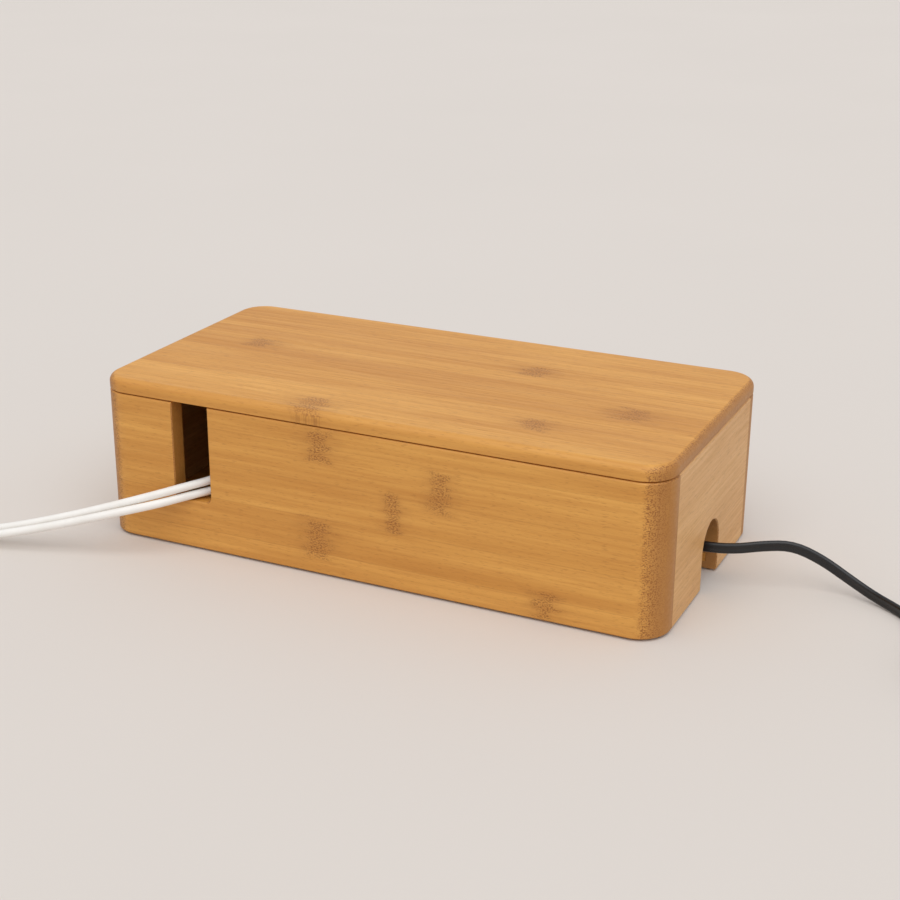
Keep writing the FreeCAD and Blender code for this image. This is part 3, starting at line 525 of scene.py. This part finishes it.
def nurbs(name: str, route: list[Vector]) -> bpy.types.Curve:
    """Make a smooth curve with a route's points as its control points.

    Args:
        name: The curve's name.
        route: The points.

    Returns:
        The curve.
    """
    curve = bpy.data.curves.new(name, "CURVE")
    curve.dimensions = "3D"
    curve.resolution_u = 4
    spline = curve.splines.new("NURBS")
    spline.points.add(len(route) - 1)
    for point, place in zip(spline.points, route):
        point.co = (*place, 1.0)
    spline.order_u = 3
    spline.use_endpoint_u = True
    return curve


class Row:
    """Rings or bars repeated along a line by Geometry Nodes, which end as one plain mesh."""

    kinds = {
        "Count": "NodeSocketInt",
        "Start": "NodeSocketVector",
        "Offset": "NodeSocketVector",
        "Turn": "NodeSocketVector",
        "Taper": "NodeSocketFloat",
        "Finish": "NodeSocketMaterial",
    }

    def __init__(self, name: str) -> None:
        """Start the tree with its named inputs.

        Args:
            name: The tree's name.
        """
        self.tree = bpy.data.node_groups.new(name, "GeometryNodeTree")
        self.weave = Weave(self.tree)
        self.names: dict[str, str] = {}
        self.tree.interface.new_socket("Geometry", in_out="OUTPUT", socket_type="NodeSocketGeometry")
        for label, kind in self.kinds.items():
            self.listen(label, kind)

    def listen(self, label: str, kind: str) -> None:
        """Add a named input to the tree."""
        socket = self.tree.interface.new_socket(label, in_out="INPUT", socket_type=kind)
        self.names[label] = socket.identifier

    def repeat(self, taken: bpy.types.Node, single: bpy.types.NodeSocket) -> None:
        """Set one shape at each point of the line and close the tree.

        Args:
            taken: The tree's input node.
            single: The shape's geometry.
        """
        given = taken.outputs
        ends = {"Count": given["Count"], "Start Location": given["Start"], "Offset": given["Offset"]}
        line = self.weave.add("GeometryNodeMeshLine", ends, mode="OFFSET").outputs[0]
        index = self.weave.add("GeometryNodeInputIndex", {}).outputs[0]
        less = self.weave.maths("MULTIPLY", index, given["Taper"])
        share = self.weave.maths("SUBTRACT", 1.0, less)
        inputs = {"Points": line, "Instance": single, "Rotation": given["Turn"], "Scale": share}
        many = self.weave.add("GeometryNodeInstanceOnPoints", inputs).outputs[0]
        real = self.weave.add("GeometryNodeRealizeInstances", {"Geometry": many}).outputs[0]
        inputs = {"Geometry": real, "Material": given["Finish"]}
        dressed = self.weave.add("GeometryNodeSetMaterial", inputs)
        self.weave.add("NodeGroupOutput", {"Geometry": dressed.outputs[0]})

    def mesh(self, name: str, **values: object) -> bpy.types.Mesh:
        """Run the tree and keep what it makes.

        Args:
            name: The mesh's name.
            values: What each named input takes.

        Returns:
            The mesh.
        """
        bare = bpy.data.meshes.new(name)
        carrier = bpy.data.objects.new(name, bare)
        bpy.context.scene.collection.objects.link(carrier)
        modifier = carrier.modifiers.new("row", "NODES")
        modifier.node_group = self.tree
        for label, value in values.items():
            modifier[self.names[label]] = value
        state = bpy.context.evaluated_depsgraph_get()
        made = bpy.data.meshes.new_from_object(carrier.evaluated_get(state))
        bpy.data.objects.remove(carrier)
        bpy.data.meshes.remove(bare)
        made.name = name
        return made


class RingRow(Row):
    """Rings of round wire."""

    def __init__(self) -> None:
        """Build the tree."""
        super().__init__("ring_row")
        self.listen("Radius", "NodeSocketFloat")
        self.listen("Wire", "NodeSocketFloat")
        taken = self.tree.nodes.new("NodeGroupInput")
        around = {"Resolution": 56, "Radius": taken.outputs["Radius"]}
        thick = {"Resolution": 10, "Radius": taken.outputs["Wire"]}
        ring, wire = (
            self.weave.add("GeometryNodeCurvePrimitiveCircle", shape, mode="RADIUS").outputs[0]
            for shape in (around, thick)
        )
        swept = self.weave.add("GeometryNodeCurveToMesh", {"Curve": ring, "Profile Curve": wire})
        self.repeat(taken, swept.outputs[0])


class BarRow(Row):
    """Bars with square edges."""

    def __init__(self) -> None:
        """Build the tree."""
        super().__init__("bar_row")
        self.listen("Size", "NodeSocketVector")
        taken = self.tree.nodes.new("NodeGroupInput")
        bar = self.weave.add("GeometryNodeMeshCube", {"Size": taken.outputs["Size"]})
        self.repeat(taken, bar.outputs[0])


@dataclass(frozen=True)
class Coil:
    """A coil in two layers, which closes in below, climbs once and opens out above."""

    centre: tuple[float, float]
    start: float
    spin: Spin
    below: int
    above: int
    inner: float
    pitch: float
    low: float
    rise: float
    steps: int = 12

    def points(self) -> list[Vector]:
        """Work out the points of its half turns.

        Returns:
            The points, from the outside below to the outside above.
        """
        places = []
        for step in range((self.below + 1 + self.above) * self.steps + 1):
            half = step / self.steps
            open_by = max(0.0, self.below - half, half - self.below - 1)
            radius = self.inner + self.pitch / 2 * open_by
            climb = min(max(half - self.below, 0.0), 1.0)
            angle = math.radians(self.start) + self.spin.value * math.pi * half
            across = self.centre[0] + radius * math.cos(angle)
            deep = self.centre[1] + radius * math.sin(angle)
            places.append(Vector((across, deep, self.low + self.rise * climb)))
        return places


@dataclass
class RoundCable:
    """A white round cable, from the charger through the slot to its coil and connector."""

    name: str
    lead: list[Point]
    tail: list[Point]
    coil: Coil
    length: float
    thickness: float = 0.0049

    def build(self, finish: bpy.types.Material) -> None:
        """Lay the cable.

        Args:
            finish: Its jacket's material.
        """
        route = [Vector(p) for p in self.lead] + self.coil.points() + [Vector(p) for p in self.tail]
        curve = nurbs(self.name, route)
        curve.bevel_depth = self.thickness / 2
        curve.bevel_resolution = 5
        curve.use_fill_caps = True
        piece = new_piece(self.name, curve, finish, BOX_BODY)
        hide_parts(f"{self.name}_lead", f"{self.name}_coil", f"{self.name}_tail")


@dataclass
class TwinCord:
    """The black flat twin cord, standing on its edge, with a groove along each flat side."""

    name: str
    lead: list[Point]
    tail: list[Point]
    coil: Coil
    length: float
    width: float = 0.0063
    thickness: float = 0.0032
    groove: float = 0.0014
    lobe_steps: int = 12
    grip_start: float = 0.017
    grip_pitch: float = 0.0025
    grip_height: float = 0.007
    grip_size: Point = (0.0011, 0.0150, 0.0009)
    grip_count: int = 7

    def section(self) -> list[tuple[float, float]]:
        """Work out the section, as places sideways and upwards.

        Returns:
            The section's points in order.
        """
        radius = self.thickness / 2
        rise = self.width / 2 - radius
        waist = math.asin(min(1.0, (rise - self.groove / 2) / radius))
        reach = math.pi + 2 * waist
        places = []
        for lobe in (1, -1):
            for step in range(self.lobe_steps + 1):
                angle = -waist + reach * step / self.lobe_steps
                sideways = radius * math.cos(angle) * lobe
                places.append((sideways, lobe * (rise + radius * math.sin(angle))))
        return places

    def path(self) -> list[Vector]:
        """Read the points of the route's smooth curve.

        Returns:
            The points that the cord's middle follows.
        """
        route = [Vector(p) for p in self.lead] + self.coil.points() + [Vector(p) for p in self.tail]
        line = bpy.data.objects.new("line", nurbs("line", route))
        points = bpy.data.meshes.new_from_object(line)
        places = [vertex.co.copy() for vertex in points.vertices]
        bpy.data.objects.remove(line)
        return places

    def build(self, finish: bpy.types.Material) -> None:
        """Lay the cord.

        Args:
            finish: Its jacket's material.
        """
        path = self.path()
        section = self.section()
        around = len(section)
        places = []
        for n, middle in enumerate(path):
            heading = (path[min(n + 1, len(path) - 1)] - path[max(n - 1, 0)]).normalized()
            up = (UP - heading * heading.z).normalized()
            side = up.cross(heading)
            places += [middle + side * across + up * high for across, high in section]
        faces = []
        for n in range(len(path) - 1):
            for k in range(around):
                beside = (k + 1) % around
                low = n * around
                high = low + around
                faces.append((low + k, low + beside, high + beside, high + k))
        last = (len(path) - 1) * around
        faces.append(tuple(reversed(range(around))))
        faces.append(tuple(range(last, last + around)))
        mesh = bpy.data.meshes.new(self.name)
        mesh.from_pydata(places, [], faces)
        smooth(mesh)
        grip = self.grip(finish)
        piece = new_piece(self.name, mesh, finish, BOX_BODY)
        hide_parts(f"{self.name}_lead", f"{self.name}_coil", f"{self.name}_tail")

    def grip(self, finish: bpy.types.Material) -> bpy.types.Object:
        """Lay the finger ridges across the plug's upper face.

        Args:
            finish: The plug's material.

        Returns:
            The ridges.
        """
        last, end = (Vector(p) for p in self.tail[-2:])
        heading = (end - last).normalized()
        ridges = BarRow().mesh(
            "mains_plug_ridges",
            Count=self.grip_count,
            Start=end + heading * self.grip_start + UP * self.grip_height,
            Offset=heading * self.grip_pitch,
            Turn=(0.0, 0.0, math.atan2(heading.y, heading.x)),
            Taper=0.0,
            Size=self.grip_size,
            Finish=finish,
        )
        return new_piece(ridges.name, ridges, finish, BOX_BODY)


@dataclass
class WoodenBox:
    """The glued walls, corner blocks, floor and feet."""

    ends: tuple[str, ...] = ("front_left", "front_right", "back_left", "back_right")

    def build(self) -> None:
        """Dress the box's pieces."""
        long_way = (Along.LENGTH, Along.HEIGHT)
        short_way = (Along.DEPTH, Along.HEIGHT)
        front = Bamboo("bamboo_front", *long_way, 0.35, FRONT_MARKS)
        dress(front.build(), "front_panel")
        dress(Bamboo("bamboo_back", *long_way, 7.35, BACK_MARKS).build(), "back_panel")
        pale = {
            "light": shade(232, 184, 122),
            "dark": shade(210, 156, 92),
            "fibre": shade(192, 138, 78),
            "seam": 0.05,
        }
        dress(Bamboo("bamboo_right", *short_way, 13.6, (), **pale).build(), "right_side_panel")
        dress(Bamboo("bamboo_left", *short_way, 23.2, LEFT_MARKS, **pale).build(), "left_side_panel")
        blocks = Bamboo("bamboo_blocks", *long_way, 31.4)
        dress(blocks.build(), *(f"corner_block_{end}" for end in self.ends))
        base = Bamboo("bamboo_base", Along.LENGTH, Along.DEPTH, 41.0, strip_width=0.019, roughness=0.55)
        dress(base.build(), "base_panel")
        dress(Bamboo("dowel_wood", Along.DEPTH, Along.HEIGHT, 51.0).build(), "corner_dowels")
        rubber = Moulded("foot_rubber", shade(28, 28, 28), shade(40, 39, 38), 0.72)
        dress(rubber.build(), *(f"foot_pad_{end}" for end in self.ends))


@dataclass
class Lid:
    """The lift-off lid with its battens and screws."""

    def build(self) -> None:
        """Dress the lid's pieces."""
        board = Bamboo("bamboo_lid", Along.LENGTH, Along.DEPTH, 61.3, LID_MARKS)
        dress(board.build(), "lid_board")
        battens = Bamboo("bamboo_battens", Along.DEPTH, Along.LENGTH, 71.0, strip_width=0.019)
        dress(battens.build(), "lid_batten_left", "lid_batten_right")
        zinc = Bright("screw_steel", shade(176, 174, 170), shade(150, 148, 144), 0.3)
        dress(zinc.build(), "lid_batten_screws", "strip_screws")


@dataclass
class PowerStrip:
    """The power strip inside, with its switch, contacts, pads and strain relief."""

    free_sockets: int = 3
    first_free: Point = (-0.034, 0.0, 0.0373)
    socket_pitch: float = 0.042
    outline_radius: float = 0.0165
    outline_wire: float = 0.0004
    rib_count: int = 6
    first_rib: Point = (0.136, 0.0, 0.022)
    rib_pitch: float = 0.0034
    rib_radius: float = 0.00615
    rib_wire: float = 0.0006
    rib_taper: float = 0.0487

    def build(self, black: bpy.types.Material) -> None:
        """Dress the strip's pieces.

        Args:
            black: The cord's black jacket, which the strain relief shares.
        """
        white = Moulded("strip_plastic", shade(232, 231, 228), shade(224, 222, 217), 0.45, 1800.0, 0.1)
        casing = white.build()
        dress(casing, "strip_lower_shell", "strip_upper_shell")
        foam = Moulded("foam_pad", shade(34, 34, 36), shade(46, 46, 48), 0.85, 1500.0, 0.4)
        dress(foam.build(), "strip_pad_left", "strip_pad_right")
        brass = Bright("contact_brass", shade(202, 164, 92), shade(178, 138, 70), 0.28)
        dress(brass.build(), "live_bus_bar", "neutral_bus_bar")
        glossy = Moulded("switch_plastic", shade(24, 24, 25), shade(32, 32, 33), 0.25, 2500.0, 0.03)
        dress(glossy.build(), "switch_frame", "switch_rocker")
        steel = Bright("pin_steel", shade(190, 190, 190), shade(170, 170, 170), 0.25, Along.DEPTH)
        dress(steel.build(), "switch_pivot_pin")
        dress(black, "strip_strain_relief")
        rings = RingRow()
        outlines = rings.mesh(
            "socket_outlines",
            Count=self.free_sockets,
            Start=self.first_free,
            Offset=(self.socket_pitch, 0.0, 0.0),
            Turn=(0.0, 0.0, 0.0),
            Taper=0.0,
            Radius=self.outline_radius,
            Wire=self.outline_wire,
            Finish=casing,
        )
        smooth(outlines)
        new_piece(outlines.name, outlines, casing, BOX_BODY)
        ribs = rings.mesh(
            "strain_relief_ribs",
            Count=self.rib_count,
            Start=self.first_rib,
            Offset=(self.rib_pitch, 0.0, 0.0),
            Turn=(0.0, math.pi / 2, 0.0),
            Taper=self.rib_taper,
            Radius=self.rib_radius,
            Wire=self.rib_wire,
            Finish=black,
        )
        smooth(ribs)
        new_piece(ribs.name, ribs, black, BOX_BODY)


@dataclass
class Charger:
    """The charger on the first socket, and what is plugged into it."""

    def build(self, white: bpy.types.Material, nickel: bpy.types.Material) -> None:
        """Dress the charger's pieces.

        Args:
            white: The cables' white plastic.
            nickel: The plating of the blades.
        """
        shades = (shade(240, 240, 239), shade(233, 233, 231))
        glossy = Moulded("charger_plastic", *shades, 0.22, relief=0.02)
        dress(glossy.build(), "charger_body")
        dress(nickel, "charger_blades")
        dress(white, "front_cable_plug", "back_cable_plug")


FRONT_CABLE = RoundCable(
    name="front_cable",
    lead=[
        (-0.076, -0.035, 0.050), (-0.0765, -0.046, 0.048), (-0.082, -0.0575, 0.0435),
        (-0.093, -0.068, 0.0385), (-0.1055, -0.078, 0.0352), (-0.1145, -0.089, 0.0342),
        (-0.128, -0.1015, 0.031), (-0.148, -0.113, 0.0265), (-0.173, -0.1225, 0.0196),
        (-0.198, -0.1315, 0.0133), (-0.221, -0.1385, 0.0082), (-0.238, -0.1413, 0.0036),
        (-0.249, -0.1415, 0.00245), (-0.2601, -0.1415, 0.00245),
    ],
    tail=[
        (-0.2601, -0.2045, 0.00875), (-0.250, -0.2045, 0.00875), (-0.238, -0.203, 0.0056),
        (-0.226, -0.200, 0.004), (-0.216, -0.1965, 0.004),
    ],
    coil=Coil((-0.265, -0.173), 90.0, Spin.LEFT, 3, 3, 0.02205, 0.0063, 0.00245, 0.0063),
    length=0.86,
)
BACK_CABLE = RoundCable(
    name="back_cable",
    lead=[
        (-0.076, -0.035, 0.064), (-0.0765, -0.046, 0.061), (-0.082, -0.0575, 0.0545),
        (-0.093, -0.068, 0.047), (-0.1055, -0.078, 0.0416), (-0.1145, -0.0885, 0.0402),
        (-0.128, -0.0991, 0.0366), (-0.150, -0.1084, 0.0296), (-0.175, -0.117, 0.0218),
        (-0.200, -0.125, 0.0148), (-0.224, -0.132, 0.009), (-0.248, -0.1342, 0.0044),
        (-0.270, -0.1343, 0.0026), (-0.287, -0.13465, 0.00245), (-0.3001, -0.13465, 0.00245),
    ],
    tail=[
        (-0.3099, -0.1315, 0.00875), (-0.320, -0.1315, 0.00875), (-0.3315, -0.127, 0.008),
        (-0.3405, -0.1185, 0.0055), (-0.3455, -0.1075, 0.004), (-0.347, -0.097, 0.004),
    ],
    coil=Coil((-0.305, -0.100), -90.0, Spin.RIGHT, 4, 3, 0.02205, 0.0063, 0.00245, 0.0063),
    length=1.02,
)
MAINS_CORD = TwinCord(
    name="mains_cord",
    lead=[
        (0.157, 0.0, 0.022), (0.171, 0.0004, 0.021), (0.188, 0.004, 0.0215), (0.203, 0.0095, 0.0242),
        (0.218, 0.0155, 0.0248), (0.234, 0.019, 0.018), (0.250, 0.0185, 0.0095),
        (0.266, 0.0125, 0.0044), (0.281, 0.004, 0.0032), (0.294, -0.009, 0.00315),
        (0.3035, -0.026, 0.00315), (0.3035, -0.0417, 0.00315),
    ],
    tail=[
        (0.3865, -0.0417, 0.01005), (0.3865, -0.029, 0.01005), (0.3845, -0.015, 0.0086),
        (0.380, -0.002, 0.0072), (0.3745, 0.009, 0.007), (0.369, 0.019, 0.007),
    ],
    coil=Coil((0.345, -0.048), 180.0, Spin.LEFT, 5, 5, 0.028, 0.0054, 0.00315, 0.0069),
    length=1.44,
)


@dataclass
class Studio:
    """The pale floor, the soft lights and the camera."""

    floor_size: float = 14.0
    floor_colour: Colour = shade(219, 212, 205)
    sky: Colour = shade(250, 250, 252)
    sky_strength: float = 0.66
    key_strength: float = 1.5
    key_angle: float = 70.0
    key_tilt: Point = (24.0, 14.0, 0.0)
    lens: float = 65.56
    camera_place: Point = (0.398, -0.8276, 0.4025)
    azimuth: float = 24.97
    elevation: float = 20.93
    roll: float = 0.32

    def build(self) -> None:
        """Set the stage."""
        self.floor()
        self.lights()
        self.camera()
        bpy.context.scene.view_settings.view_transform = "Standard"

    def floor(self) -> None:
        """Lay the floor."""
        half = self.floor_size / 2
        mesh = bpy.data.meshes.new("floor")
        corners = [(-half, -half, 0), (half, -half, 0), (half, half, 0), (-half, half, 0)]
        mesh.from_pydata(corners, [], [(0, 1, 2, 3)])
        floor = bpy.data.objects.new("floor", mesh)
        bpy.context.scene.collection.objects.link(floor)
        material, weave, shader = new_material("floor_paper")
        place = weave.add("ShaderNodeTexCoord", {}).outputs["Object"]
        cloud = weave.noise(weave.scaled(place, FLOOR_CELLS))
        darker = tuple(part * 0.965 for part in self.floor_colour)
        weave.tree.links.new(weave.tint(cloud, self.floor_colour, darker), shader.inputs["Base Color"])
        shader.inputs["Roughness"].default_value = 0.9
        mesh.materials.append(material)

    def lights(self) -> None:
        """Set the sky's level and hang the soft key light."""
        world = bpy.data.worlds.new("studio")
        world.use_nodes = True
        sky = world.node_tree.nodes["Background"]
        sky.inputs["Color"].default_value = (*self.sky, 1.0)
        sky.inputs["Strength"].default_value = self.sky_strength
        bpy.context.scene.world = world
        key = bpy.data.lights.new("key", "SUN")
        key.energy = self.key_strength
        key.angle = math.radians(self.key_angle)
        lamp = bpy.data.objects.new("key", key)
        lamp.rotation_euler = tuple(math.radians(turn) for turn in self.key_tilt)
        bpy.context.scene.collection.objects.link(lamp)

    def camera(self) -> None:
        """Put the camera where the photograph was taken from."""
        data = bpy.data.cameras.new("camera")
        data.lens = self.lens
        data.sensor_width = 36.0
        data.clip_end = 50.0
        camera = bpy.data.objects.new("camera", data)
        turn = Matrix.Rotation(math.radians(self.azimuth), 4, "Z")
        tilt = Matrix.Rotation(math.radians(90.0 - self.elevation), 4, "X")
        lean = Matrix.Rotation(math.radians(self.roll), 4, "Z")
        camera.matrix_world = Matrix.Translation(self.camera_place) @ turn @ tilt @ lean
        bpy.context.scene.collection.objects.link(camera)
        bpy.context.scene.camera = camera


def main() -> None:
    """Build the sub-assemblies in order."""
    logging.basicConfig(level=logging.INFO, format="%(message)s")
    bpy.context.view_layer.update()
    shades = (shade(244, 241, 236), shade(238, 235, 229))
    white = Moulded("cable_plastic", *shades, 0.34, 1800.0, 0.03).build()
    black = Moulded("cord_plastic", shade(20, 19, 20), shade(27, 26, 27), 0.24, 2200.0, 0.04).build()
    nickel = Bright("blade_metal", shade(196, 194, 188), shade(176, 173, 166), 0.18).build()
    WoodenBox().build()
    Lid().build()
    PowerStrip().build(black)
    Charger().build(white, nickel)
    for cable in (FRONT_CABLE, BACK_CABLE):
        cable.build(white)
        dress(white, f"{cable.name}_connector")
    MAINS_CORD.build(black)
    dress(black, "mains_plug_body")
    dress(nickel, "mains_plug_blades")
    Studio().build()


if __name__ == "__main__":
    main()
